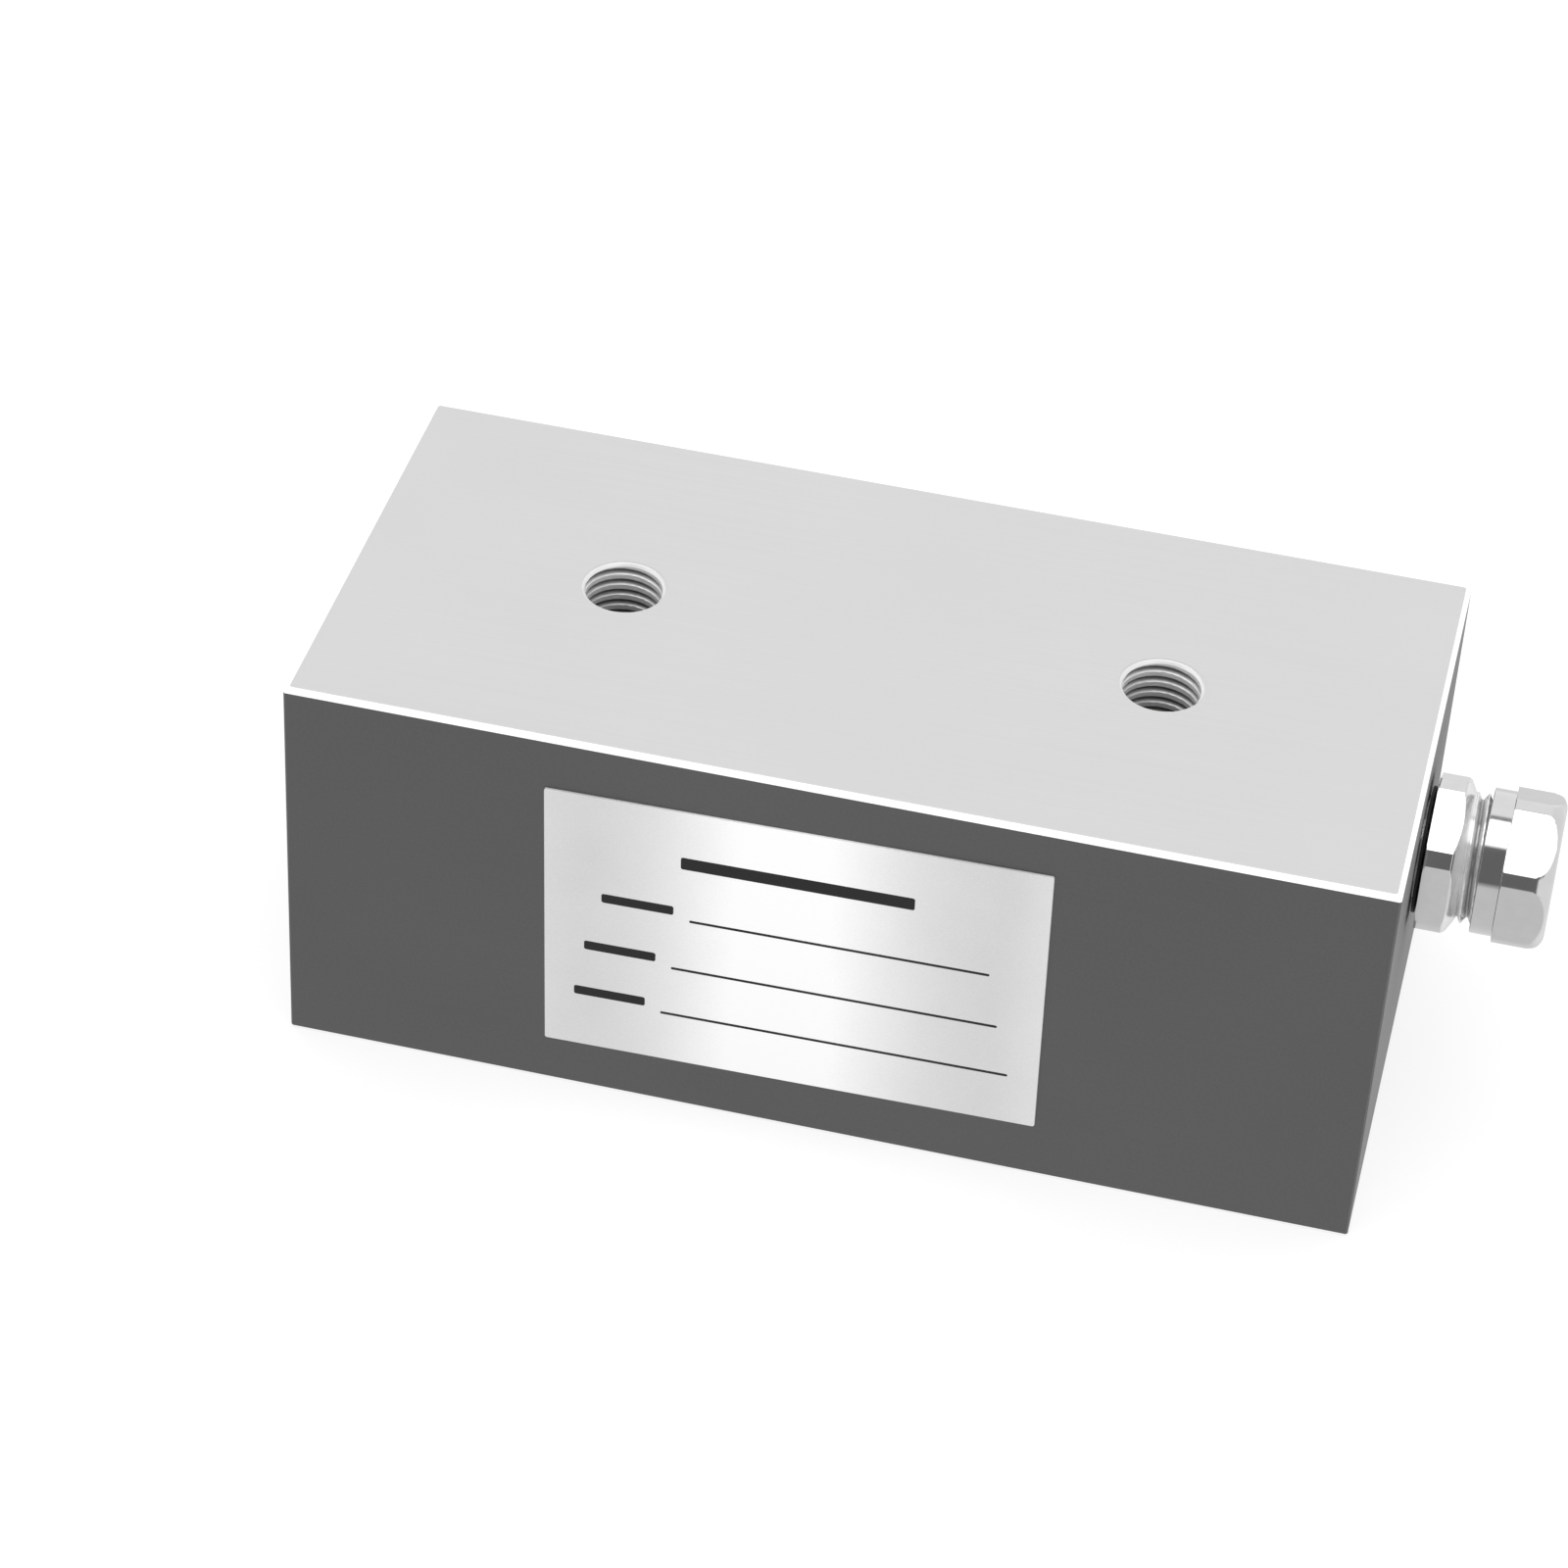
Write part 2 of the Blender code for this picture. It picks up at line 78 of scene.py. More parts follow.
# Gland body: radii and angles, then stations and lengths
GLAND_HEIGHT = 0.0405
GLAND_BORE_RADIUS = 0.0042
SEAT_RADIUS = 0.0069
NECK_RADIUS = 0.007
ENTRY_THREAD_RADIUS = 0.0077
CAP_THREAD_RADIUS = 0.009
HEAD_FLATS_RADIUS = 0.01035
HEAD_CORNER_RADIUS = 0.01135
HEAD_CHAMFER_ANGLE = math.radians(30)
HEAD_TURN = math.radians(-3)
ENTRY_LENGTH = 0.0075
NECK_LENGTH = 0.001
HEAD_START = 0.0011
HEAD_END = 0.0061
SEAT_START = 0.007
BODY_END = 0.0145
THREAD_LEAD_IN = 0.0005
GLAND_EASE = 0.00008

# Cap nut, with the cone inside that presses on the claw
NUT_FLATS_RADIUS = 0.010
NUT_CORNER_RADIUS = 0.011
NUT_TURN = math.radians(3)
NUT_START = 0.0085
NUT_HEX_START = 0.0116
DOME_START = 0.0160
DOME_DRAW_IN = 0.0024
DOME_STEPS = 14
NUT_END = 0.0185
CONE_START = 0.0150
CONE_END = 0.0175
CLAW_INNER_RADIUS = 0.005
NUT_EASE = 0.00012

# Washer and cable seal, two plain rings
WASHER_EASE = 0.00018
SEAL_BORE_RADIUS = 0.0033
SEAL_EASE = 0.0003
RING_ANGLES = 160
RING_EASE_STEPS = 5

# Plate, made flat about its own centre and stood against the front a little askew
PLATE_LENGTH = 0.069
PLATE_HEIGHT = 0.044
PLATE_THICKNESS = 0.0004
PLATE_CORNER_RADIUS = 0.0003
PLATE_CORNER_STEPS = 8
PLATE_EASE = 0.00008
PLATE_SHIFT = -0.0039
PLATE_CENTRE_HEIGHT = 0.0303
PLATE_TILT = math.radians(1)
PLATE_GAP = 0.00001

# Print: how far it reaches into the plate and stands proud of it
PRINT_SUNK = 0.00001
PRINT_PROUD = 0.00002

# Layout of the print in millimetres from the plate's centre: a title bar, and rows of a label
# bar and a ruled line, each row given by its level, start and end
TITLE_CENTRE = (0.35, 13.4)
TITLE_SIZE = (31.9, 2.0)
PRINT_ROWS = ((5.5, -26.5, 26.9), (-3.3, -28.9, 28.4), (-11.6, -30.3, 30.3))
LABEL_SIZE = (10.0, 1.5)
LABEL_DROP = 0.6
LABEL_GAP = 2.2
RULE_HEIGHT = 0.4
RULE_DROP = 2.0
PRINT_CORNER_RADIUS = 0.3
PRINT_CORNER_SHARE = 0.49
PRINT_CORNER_STEPS = 4

# Screw threads: pitches, depth of an outer thread as a share of its pitch, and slope of a flank
METRIC_12_PITCH = 0.00175
METRIC_18_PITCH = 0.0015
OUTER_DEPTH = 0.6134
FLANK = math.sqrt(3)

# Gland's threads: the share of a turn that they start at, and the lengths in which they deepen
THREAD_START = 0.35
CAP_RUNOUT = 0.0004
ENTRY_RUNOUT = 0.0002

# How finely pieces are meshed, and the most that an eased corner takes of each side
EASE_SHARE = 0.45
THREAD_ROW = 0.00006
DOME_ROW = 0.0001
FLAT_ROW = 0.0003
CORNER_ANGLES = 6
FLAT_ANGLES = 18
CORNER_EDGE = math.radians(0.35)
HOLE_ANGLES = 120
WELD = 0.0000005
SHARP_EDGE = math.radians(34)
SHARP_PLATE_EDGE = math.radians(60)

# Noise: most of its values lie between these two, and the finer kind has more detail
NOISE_LOW = 0.3
NOISE_HIGH = 0.7
FINE = 3.0

# Finishes of the block's faces, with painted light and shade in their greys, and of its chamfers,
# painted white as a highlight
Finish = namedtuple("Finish", "grey roughness metallic specular")
SIDE_FACE_PAINTED_DARK = Finish(0.148, 0.43, 0.96, 0.5)
END_FACE_PAINTED_LIGHTER = Finish(0.205, 0.6, 0.1, 0.15)
GROUND_FACE_PAINTED_LIGHT = Finish(0.565, 0.33, 0.2, 0.15)
CHAMFER_METALLIC = 0.15
WHITE = (1.0, 1.0, 1.0)

# Least part of a normal along an axis for a face to count as straight, and as tilted up
STRAIGHT = 0.98
TILTED = 0.4

# Grey of the nickel plate, and the shares of it at the roots and crests of the gland's thread:
# painted shade in the roots and a painted highlight on the crests
NICKEL_GREY = 0.66
THREAD_ROOT_RADIUS = 0.0081
THREAD_CREST_RADIUS = 0.0086
THREAD_ROOT_SHADE_SHARE = 0.5
THREAD_CREST_HIGHLIGHT_SHARE = 1.22

# Plate's grey, and the painted sheen across it
PLATE_GREY = 0.635
SHEEN_GREY = 0.43
SHEEN_CENTRE = -0.0015
SHEEN_WIDTH = 0.0155

# Coil: height of one turn, and depth of the grooves between turns
WIRE_TURN = 0.0008
WIRE_GROOVE = 0.00022


# Node graphs

class Graph:
    """A node tree, and short ways to add the nodes that the looks need."""

    def __init__(self, tree):
        self.nodes = tree.nodes
        self.links = tree.links

    def feed(self, target, value):
        """Set an input to a value, or wire it to a socket."""
        if isinstance(value, bpy.types.NodeSocket):
            self.links.new(value, target)
        elif isinstance(value, tuple) and target.type == "RGBA":
            target.default_value = (*value, 1.0)
        else:
            target.default_value = value

    def add(self, kind, *values, **settings):
        """Add a node and feed its inputs in order, past those whose value is None."""
        node = self.nodes.new(kind)
        for name, value in settings.items():
            setattr(node, name, value)
        for target, value in zip(node.inputs, values):
            if value is not None:
                self.feed(target, value)
        return node

    def maths(self, operation, *values, clamp=False):
        return self.add(
            "ShaderNodeMath", *values, operation=operation, use_clamp=clamp
        ).outputs[0]

    def plus(self, first, second, clamp=False):
        return self.maths("ADD", first, second, clamp=clamp)

    def minus(self, first, second, clamp=False):
        return self.maths("SUBTRACT", first, second, clamp=clamp)

    def times(self, first, second, clamp=False):
        return self.maths("MULTIPLY", first, second, clamp=clamp)

    def above(self, value, limit):
        """1 where the value is above the limit, and 0 elsewhere."""
        return self.maths("GREATER_THAN", value, limit)

    def below(self, value, limit):
        """1 where the value is below the limit, and 0 elsewhere."""
        return self.maths("LESS_THAN", value, limit)

    def distance(self, first, second):
        """Distance from the axis on which both numbers are 0."""
        return self.maths("SQRT", self.plus(self.times(first, first), self.times(second, second)))

    def split(self, vector):
        return self.add("ShaderNodeSeparateXYZ", vector).outputs


class Surface(Graph):
    """A Principled material, varied by nodes."""

    def __init__(self, name, colour, roughness, metallic=0.0):
        self.material = bpy.data.materials.new(name)
        self.material.use_nodes = True
        super().__init__(self.material.node_tree)
        self.shader = self.nodes["Principled BSDF"]
        self.put("Base Color", colour)
        self.put("Roughness", roughness)
        self.put("Metallic", metallic)
        coordinates = self.add("ShaderNodeTexCoord").outputs
        self.place = coordinates["Object"]
        self.normal = coordinates["Normal"]

    def put(self, name, value):
        """Feed one of the shader's inputs."""
        self.feed(self.shader.inputs[name], value)

    def noise(self, scale, detail=2.0):
        """Noise about 0.5 with features of one unit over the scale, which may differ by axis."""
        mapping = self.add("ShaderNodeMapping", self.place)
        mapping.inputs["Scale"].default_value = scale if isinstance(scale, tuple) else (scale,) * 3
        node = self.add("ShaderNodeTexNoise", mapping.outputs[0])
        node.inputs["Scale"].default_value = 1.0
        node.inputs["Detail"].default_value = detail
        return node.outputs["Fac"]

    def span(self, value, low, high, start=0.0, end=1.0, smooth=False):
        """Map a value between two limits to the range from start to end, held flat outside."""
        node = self.add("ShaderNodeMapRange")
        node.interpolation_type = "SMOOTHSTEP" if smooth else "LINEAR"
        for name, item in zip(
            ("Value", "From Min", "From Max", "To Min", "To Max"), (value, low, high, start, end)
        ):
            self.feed(node.inputs[name], item)
        return node.outputs[0]

    def vary(self, noise, middle, swing):
        """A number that follows a noise by a swing to each side of its middle."""
        return self.span(noise, NOISE_LOW, NOISE_HIGH, middle - swing, middle + swing)

    def choose(self, factor, first, second):
        """A number: first where the factor is 0, second where it is 1."""
        return self.span(factor, 0.0, 1.0, first, second)

    def mix(self, factor, first, second):
        """A colour: first where the factor is 0, second where it is 1."""
        node = self.add("ShaderNodeMix", data_type="RGBA")
        for index, item in ((0, factor), (6, first), (7, second)):
            self.feed(node.inputs[index], item)
        return node.outputs[2]

    def grey(self, value):
        """A grey of that lightness."""
        return self.add("ShaderNodeCombineColor", value, value, value).outputs[0]

    def bands(self, along, pitch):
        """Rise from 0 to 0.5 and fall back to 0 within each pitch."""
        return self.maths("PINGPONG", self.maths("DIVIDE", along, pitch), 0.5)

    def bump(self, height, depth):
        """Raise the surface by depth metres where the height is 1."""
        node = self.add("ShaderNodeBump")
        node.inputs["Strength"].default_value = 1.0
        self.feed(node.inputs["Distance"], depth)
        self.links.new(height, node.inputs["Height"])
        self.put("Normal", node.outputs[0])


# Materials

def shaded(colour, share):
    return tuple(channel * share for channel in colour)


def steel_block():
    """Ground top and holding face, top chamfers painted white as a highlight, and satin grey
    sides, with painted light and shade in the greys by face.
    """
    s = Surface("steel_block", (0.12, 0.12, 0.12), 0.42, 0.95)
    normal_x, _, normal_z = s.split(s.normal)
    top = s.above(normal_z, STRAIGHT)
    base = s.below(normal_z, -STRAIGHT)
    ground = s.plus(top, base, clamp=True)
    end = s.above(s.maths("ABSOLUTE", normal_x), STRAIGHT)
    tilted = s.times(s.above(normal_z, TILTED), s.minus(1.0, top))
    near_top = s.above(s.split(s.place)[2], BODY_HEIGHT - 2 * TOP_CHAMFER)
    chamfer = s.times(tilted, near_top)
    # Painted light and shade: the greys by face stand in for how light falls on one steel, with
    # the top and holding face lighter, the long sides darker and the end faces lighter than the
    # long sides.
    shade, roughness, metallic, specular = (
        s.choose(ground, s.choose(end, of_side, of_end), of_ground)
        for of_side, of_end, of_ground in zip(SIDE_FACE_PAINTED_DARK, END_FACE_PAINTED_LIGHTER, GROUND_FACE_PAINTED_LIGHT)
    )

    grain = s.noise((14, 3200, 3200), FINE)
    cloud = s.noise((26, 34, 34))
    mottle = s.noise(2600)
    ground_lift = s.plus(s.vary(grain, 1.0, 0.015), s.vary(cloud, 0.0, 0.01))
    side_lift = s.plus(s.vary(mottle, 1.0, 0.04), s.vary(cloud, 0.0, 0.02))
    colour = s.grey(s.times(shade, s.choose(ground, side_lift, ground_lift)))
    # Painted highlight: the top chamfers are coloured white.
    s.put("Base Color", s.mix(chamfer, colour, WHITE))
    s.put("Roughness", s.plus(roughness, s.span(grain, 0.2, 0.8, -0.03, 0.03)))
    s.put("Metallic", s.choose(chamfer, metallic, CHAMFER_METALLIC))
    s.put("Specular IOR Level", specular)
    s.bump(s.mix(ground, mottle, grain), 0.0000015)
    return s.material


def cut_thread():
    """Freshly tapped steel under a lip of the ground top, with painted shade in the roots of its
    turns and deeper down the hole, and a painted highlight at the mouth.
    """
    s = Surface("cut_thread", (0.5, 0.5, 0.5), 0.3, 0.8)
    x, y, z = s.split(s.place)
    root = s.span(s.distance(x, y), TAPPING_RADIUS, HOLE_RADIUS - 0.0001)
    mouth = s.span(z, -0.0006, -0.0003)
    deep_shade = s.span(z, -0.0004, -0.010)
    grain = s.vary(s.noise((900, 900, 9000)), 1.0, 0.1)
    # Painted shade: the roots are darker than the crests, and the turns darker deeper down the
    # hole.
    shade = s.times(s.choose(root, 0.92, 0.20), grain)
    shade = s.times(shade, s.choose(deep_shade, 1.0, 0.6))
    # Painted highlight: the topmost turns by the mouth are an even light grey.
    shade = s.choose(mouth, shade, 0.78)
    lip = s.above(s.split(s.normal)[2], STRAIGHT)
    s.put("Base Color", s.grey(s.choose(lip, shade, GROUND_FACE_PAINTED_LIGHT.grey)))
    s.put("Roughness", s.choose(lip, s.choose(root, 0.3, 0.45), GROUND_FACE_PAINTED_LIGHT.roughness))
    s.put("Metallic", s.choose(lip, 0.35, GROUND_FACE_PAINTED_LIGHT.metallic))
    s.put("Specular IOR Level", s.choose(lip, 0.5, GROUND_FACE_PAINTED_LIGHT.specular))
    return s.material


def nickel(name, thread=None):
    """Bright nickel plate with faint polishing marks, duller where X lies in a thread's range,
    with painted shade in the thread's roots and a painted highlight on its crests.
    """
    s = Surface(name, (NICKEL_GREY, NICKEL_GREY, NICKEL_GREY * 0.985), 0.09, 1.0)
    cloud = s.noise(420)
    shade = s.vary(cloud, NICKEL_GREY, NICKEL_GREY * 0.025)
    roughness = s.vary(s.noise((900, 5200, 5200), FINE), 0.095, 0.025)
    if thread:
        x, y, z = s.split(s.place)
        dull = s.times(s.above(x, thread[0]), s.below(x, thread[1]))
        radius = s.distance(y, s.minus(z, GLAND_HEIGHT))
        # Painted shade and highlight: the thread is darker in its roots and lighter on its crests.
        share = s.span(
            radius, THREAD_ROOT_RADIUS, THREAD_CREST_RADIUS, THREAD_ROOT_SHADE_SHARE, THREAD_CREST_HIGHLIGHT_SHARE
        )
        shade = s.times(shade, s.choose(dull, 1.0, share))
        roughness = s.plus(roughness, s.choose(dull, 0.0, 0.08))
        s.put("Metallic", s.choose(dull, 1.0, 0.6))
    s.put("Base Color", s.grey(shade))
    s.put("Roughness", roughness)
    s.bump(cloud, 0.0000015)
    return s.material


def mottled(name, colour, roughness, depth, grain=4200, metallic=0.0):
    """Moulded or cast surface with a fine uneven skin."""
    s = Surface(name, colour, roughness, metallic)
    spread = 0.12
    fine = s.noise(grain, FINE)
    broad = s.noise(grain / 22)
    shade = s.plus(s.vary(fine, 0.0, spread / 2), s.vary(broad, 0.0, spread / 2))
    s.put("Base Color", s.mix(
        s.plus(shade, 0.5, clamp=True), shaded(colour, 1 - spread), shaded(colour, 1 + spread)
    ))
    s.put("Roughness", s.vary(fine, roughness, 0.05))
    s.bump(fine, depth)
    return s.material


def satin_plate():
    """Fine satin aluminium with one soft upright sheen, a painted highlight, and painted light
    making its ends and lower edge a little lighter.
    """
    s = Surface("satin_plate", (0.7, 0.7, 0.7), 0.36, 0.12)
    x, height, _ = s.split(s.place)
    # Painted highlight: a soft upright sheen across the plate, standing in for a reflection.
    across = s.maths("DIVIDE", s.minus(x, SHEEN_CENTRE), SHEEN_WIDTH)
    sheen = s.maths("EXPONENT", s.times(s.times(across, across), -1.0))
    # Painted light: the plate's two ends and its lower edge are a little lighter.
    right_end = s.span(x, 0.027, 0.036, 0.0, 0.09, smooth=True)
    left_end = s.span(x, -0.036, -0.027, 0.05, 0.0, smooth=True)
    low = s.span(height, -PLATE_HEIGHT / 2, PLATE_HEIGHT / 2, 0.02, 0.0)
    edge = s.plus(low, s.plus(right_end, left_end))
    speck = s.vary(s.noise(4200), 0.0, 0.022)
    wander = s.vary(s.noise((90, 90, 60)), 0.0, 0.012)
    lift = s.plus(s.times(sheen, SHEEN_GREY), s.plus(speck, s.plus(wander, edge)))
    s.put("Base Color", s.grey(s.plus(lift, PLATE_GREY, clamp=True)))
    s.put("Roughness", s.choose(sheen, 0.34, 0.40))
    s.bump(s.noise(5200), 0.000002)
    return s.material


def wound_wire():
    """Close turns of enamelled wire, each a rounded ridge, with painted shade in the grooves
    between turns.
    """
    s = Surface("wound_wire", (0.42, 0.15, 0.06), 0.28, 0.85)
    turn = s.bands(s.split(s.place)[2], WIRE_TURN)
    shine = s.span(turn, 0.0, 0.5, smooth=True)
    copper = s.mix(s.noise((60, 60, 1250)), (0.40, 0.13, 0.05), (0.56, 0.22, 0.09))
    # Painted shade: the grooves between turns are darker.
    s.put("Base Color", s.mix(s.span(shine, 0.0, 0.5, 0.75, 0.0), copper, (0.10, 0.03, 0.012)))
    s.bump(shine, WIRE_GROOVE)
    return s.material


def banded(name, colour, roughness, pitch, depth, axis):
    """A skin laid in bands along one axis, such as wound tape or braided sleeving, with painted
    shade in the grooves between bands.
    """
    s = Surface(name, colour, roughness)
    band = s.bands(s.split(s.place)[axis], pitch)
    cross = s.vary(s.noise(2400), 0.0, 0.06)
    # Painted shade: each band is darker towards its edges, in the grooves between bands.
    shade = s.plus(s.span(band, 0.0, 0.12, 0.72, 1.0), cross, clamp=True)
    s.put("Base Color", s.mix(shade, shaded(colour, 0.55), colour))
    s.bump(band, depth)
    return s.material


# Turned pieces with flats and real thread turns

def rounded(points, radius, segments=3):
    """Ease the corners of a closed outline of (station, radius) points."""
    eased = []
    for index, corner in enumerate(points):
        before = Vector(points[index - 1])
        here = Vector(corner)
        after = Vector(points[(index + 1) % len(points)])
        reach_in = min(radius, (before - here).length * EASE_SHARE)
        reach_out = min(radius, (after - here).length * EASE_SHARE)
        start = here + (before - here).normalized() * reach_in
        end = here + (after - here).normalized() * reach_out
        for step in range(segments + 1):
            t = step / segments
            eased.append(start * (1 - t) ** 2 + here * 2 * t * (1 - t) + end * t ** 2)
    return eased


def densified(points, row, low, high):
    """Add rows no further apart than row where the outline runs between two stations."""
    dense = []
    for index, start in enumerate(points):
        end = points[(index + 1) % len(points)]
        dense.append(start)
        inside = min(start.x, end.x) >= low - row and max(start.x, end.x) <= high + row
        count = math.ceil((end - start).length / row) if inside else 1
        for step in range(1, count):
            dense.append(start.lerp(end, step / count))
    return dense


def hexagon_angles(flats_radius, corner_radius, turn):
    """Angles round a turned hexagon, with two close together at each edge of its flats."""
    half_corner = SIXTH_TURN / 2 - math.acos(flats_radius / corner_radius)
    angles = []
    for side in range(6):
        corner = turn + side * SIXTH_TURN
        flat_start = corner + half_corner
        flat_end = corner + SIXTH_TURN - half_corner
        for low, high, count in (
            (corner - half_corner, flat_start, CORNER_ANGLES), (flat_start, flat_end, FLAT_ANGLES)
        ):
            angles += np.linspace(low + CORNER_EDGE, high - CORNER_EDGE, count).tolist()
    return angles


def even_angles(count):
    return [FULL_TURN * step / count for step in range(count)]


def flats(flats_radius, turn, low, high):
    """A rule that draws the radius in to six flats between two stations."""
    def rule(station, radius, angle):
        if not low <= station <= high:
            return radius
        off_centre = (angle - turn) % SIXTH_TURN - SIXTH_TURN / 2
        return min(radius, flats_radius / math.cos(off_centre))
    return rule


def off_crest(station, angle, pitch, start=0.0):
    """How far along the axis a point lies from the middle of a right-hand thread's crest."""
    return abs((station / pitch - angle / FULL_TURN - start) % 1.0 - 0.5) * pitch


def outer_thread(crest, pitch, low, high, runout):
    """A rule that cuts an outer thread into a plain radius between two stations."""
    half_crest = pitch / 16

    def rule(station, radius, angle):
        if radius < crest - pitch * OUTER_DEPTH or not low <= station <= high:
            return radius
        down_flank = max(off_crest(station, angle, pitch, THREAD_START) - half_crest, 0.0)
        depth = min(down_flank * FLANK, pitch * OUTER_DEPTH)
        depth *= min(1.0, (station - low) / runout)
        return min(radius, crest - depth)
    return rule


def bridge(bm, ring, following):
    """Join two rings of equal count with a band of faces."""
    for index in range(len(ring)):
        bm.faces.new((ring[index - 1], ring[index], following[index], following[index - 1]))


def close_rings(name, bm, rings, material):
    """Skin the rings one after another, weld what meets and make a piece of them."""
    for ring, following in zip(rings, rings[1:]):
        bridge(bm, ring, following)
    bmesh.ops.remove_doubles(bm, verts=bm.verts, dist=WELD)
    bmesh.ops.dissolve_degenerate(bm, edges=bm.edges, dist=WELD)
    bmesh.ops.recalc_face_normals(bm, faces=bm.faces)
    return finish_piece(name, bm, material)


def finish_piece(name, bm, material, sharp=SHARP_EDGE):
    """Turn the mesh into a piece, smooth where it is round."""
    mesh = bpy.data.meshes.new(name)
    bm.to_mesh(mesh)
    bm.free()
    mesh.shade_smooth()
    mesh.set_sharp_from_angle(angle=sharp)
    mesh.materials.append(material)
    return show(name, mesh)


def show(name, data):
    """Put an object with that data into the scene."""
    thing = bpy.data.objects.new(name, data)
    bpy.context.scene.collection.objects.link(thing)
    return thing


def turned(name, outline, angles, rules, material):
    """Spin an outline about the gland's axis, letting each rule change the radius on the way."""
    bm = bmesh.new()
    rings = []
    for point in outline:
        ring = []
        for angle in angles:
            radius = point.y
            for rule in rules:
                radius = rule(point.x, radius, angle)
            ring.append(bm.verts.new((
                BODY_LENGTH / 2 + point.x,
                radius * math.sin(angle),
                GLAND_HEIGHT - radius * math.cos(angle),
            )))
        rings.append(ring)
    return close_rings(name, bm, rings + rings[:1], material)


def gland_body(material):
    """Gland body with its entry thread, chamfered hexagon head and cap thread."""
    shoulder = (HEAD_CORNER_RADIUS - CAP_THREAD_RADIUS) * math.tan(HEAD_CHAMFER_ANGLE)
    outline = rounded([
        (-ENTRY_LENGTH, GLAND_BORE_RADIUS), (-ENTRY_LENGTH, ENTRY_THREAD_RADIUS - THREAD_LEAD_IN),
        (THREAD_LEAD_IN - ENTRY_LENGTH, ENTRY_THREAD_RADIUS), (-NECK_LENGTH, ENTRY_THREAD_RADIUS),
        (-NECK_LENGTH, NECK_RADIUS), (HEAD_START, NECK_RADIUS),
        (HEAD_START, HEAD_CORNER_RADIUS), (HEAD_END - shoulder, HEAD_CORNER_RADIUS),
        (HEAD_END, CAP_THREAD_RADIUS), (BODY_END - THREAD_LEAD_IN, CAP_THREAD_RADIUS),
        (BODY_END, CAP_THREAD_RADIUS - THREAD_LEAD_IN), (BODY_END, SEAT_RADIUS),
        (SEAT_START, SEAT_RADIUS), (SEAT_START, GLAND_BORE_RADIUS),
    ], GLAND_EASE)
    outline = densified(outline, THREAD_ROW, -ENTRY_LENGTH, -NECK_LENGTH)
    outline = densified(outline, THREAD_ROW, HEAD_END - shoulder, BODY_END)
    outline = densified(outline, FLAT_ROW, HEAD_START, HEAD_END - shoulder)
    angles = hexagon_angles(HEAD_FLATS_RADIUS, HEAD_CORNER_RADIUS, HEAD_TURN)
    return turned("gland_body_threaded", outline, angles, (
        flats(HEAD_FLATS_RADIUS, HEAD_TURN, HEAD_START - CLEARANCE, HEAD_END),
        outer_thread(CAP_THREAD_RADIUS, METRIC_18_PITCH, HEAD_END, BODY_END, CAP_RUNOUT),
        outer_thread(
            ENTRY_THREAD_RADIUS, METRIC_18_PITCH, -ENTRY_LENGTH, -NECK_LENGTH, ENTRY_RUNOUT
        ),
    ), material)


def cap_nut(material):
    """Cap nut with a round collar, a hexagon and a domed end round the cable's mouth."""
    bore = CAP_THREAD_RADIUS + CLEARANCE
    points = [
        (NUT_START, bore), (NUT_START, NUT_FLATS_RADIUS), (NUT_HEX_START, NUT_FLATS_RADIUS),
        (NUT_HEX_START, NUT_CORNER_RADIUS), (DOME_START, NUT_CORNER_RADIUS),
    ]
    for step in range(1, DOME_STEPS + 1):
        angle = math.pi / 2 * step / DOME_STEPS
        points.append((
            DOME_START + (NUT_END - DOME_START) * math.sin(angle),
            NUT_CORNER_RADIUS - DOME_DRAW_IN * (1 - math.cos(angle)),
        ))
    lip = (NUT_END - CONE_END) / 2
    points += [
        (NUT_END, CLAW_INNER_RADIUS + lip), (NUT_END - lip, CLAW_INNER_RADIUS),
        (CONE_END, CLAW_INNER_RADIUS), (CONE_START, SEAT_RADIUS), (CONE_START, bore),
    ]
    outline = densified(rounded(points, NUT_EASE), DOME_ROW, NUT_HEX_START, NUT_END)
    outline = densified(outline, FLAT_ROW, NUT_START, NUT_HEX_START)
    angles = hexagon_angles(NUT_FLATS_RADIUS, NUT_CORNER_RADIUS, NUT_TURN)
    return turned("cap_nut_finished", outline, angles, (
        flats(NUT_FLATS_RADIUS, NUT_TURN, NUT_HEX_START, NUT_END + CLEARANCE),
    ), material)


def plain_ring(name, outline, ease, material):
    outline = rounded(outline, ease, RING_EASE_STEPS)
    return turned(name, outline, even_angles(RING_ANGLES), (), material)


def washer_ring(material):
    """Sealing ring round the gland's neck, between its head and the block."""
    washer_low, washer_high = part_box("gland_washer")
    start = washer_low.x - BODY_LENGTH / 2
    end = washer_high.x - BODY_LENGTH / 2
    outer = (washer_high.y - washer_low.y) / 2
    inner = NECK_RADIUS + CLEARANCE
    return plain_ring("washer_ring", [
        (start, inner), (start, outer), (end, outer), (end, inner),
    ], WASHER_EASE, material)


def seal_sleeve(material):
    """Rubber sleeve that grips the cable, chamfered inside and outside at its outer end."""
    seal_low, seal_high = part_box("gland_seal")
    start = seal_low.x - BODY_LENGTH / 2
    end = seal_high.x - BODY_LENGTH / 2
    outer = (seal_high.y - seal_low.y) / 2
    bore = SEAL_BORE_RADIUS
    lip = (outer - bore) / 3
    return plain_ring("seal_sleeve", [
        (start, bore), (start, outer), (end - lip, outer), (end, outer - lip),
        (end, bore + lip), (end - lip, bore),
    ], SEAL_EASE, material)


